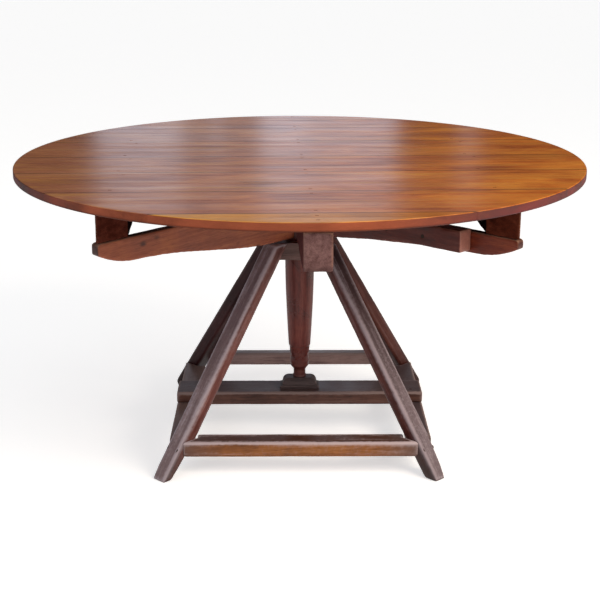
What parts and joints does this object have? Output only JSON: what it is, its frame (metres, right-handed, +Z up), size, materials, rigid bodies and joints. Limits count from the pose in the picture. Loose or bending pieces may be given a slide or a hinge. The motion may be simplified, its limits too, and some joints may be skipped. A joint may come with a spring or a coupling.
{
  "type": "revolving dining table",
  "caption": "Round plank-topped dining table: the top turns on a turned column held by a splayed, pegged four-legged stand.",
  "frame": {"origin": "on the floor, under the axis of the column that the top turns on", "axes": "+Z up along the column; -Y to the front, square to the front stretcher; +X to the right seen from the front"},
  "size_m": [1.4999, 1.5, 0.768],
  "materials": {
    "top_boards": "waxed and polished, worn",
    "frame_timber": "old wax, satin",
    "stand_timber": "dry and worn, dark stain",
    "turned_column": "turned, satin",
    "boss": "moulded, dark",
    "pegs": "end grain, dark",
    "nails": "wrought, dull"
  },
  "bodies": {
    "stand": {"leg_front_left": "stand_timber", "leg_front_right": "stand_timber", "leg_back_right": "stand_timber", "leg_back_left": "stand_timber", "stretcher_front": "stand_timber", "stretcher_right": "stand_timber", "stretcher_back": "stand_timber", "stretcher_left": "stand_timber", "stretcher_middle": "stand_timber", "head_block": "stand_timber", "pivot_boss": "boss", "head_pegs": "pegs", "stretcher_pegs": "pegs", "crossing_pegs": "pegs", "boss_pegs": "pegs"},
    "revolving_top": {"column": "turned_column", "bearer_long": "frame_timber", "bearer_short": "frame_timber", "column_pins": "pegs", "stiffener_front": "frame_timber", "stiffener_back": "frame_timber", "stiffener_nails": "nails", "batten_left": "frame_timber", "batten_middle": "frame_timber", "batten_right": "frame_timber", "batten_pegs": "pegs", "plank_1": "top_boards", "plank_2": "top_boards", "plank_3": "top_boards", "plank_4": "top_boards", "plank_5": "top_boards", "plank_6": "top_boards", "plank_7": "top_boards", "plank_nails": "nails"}
  },
  "joints": [
    {"name": "top_spin", "type": "hinge", "parent": "stand", "child": "revolving_top", "pos_m": [0, 0, 0.152], "axis": [0, 0, 1], "continuous": true}
  ]
}
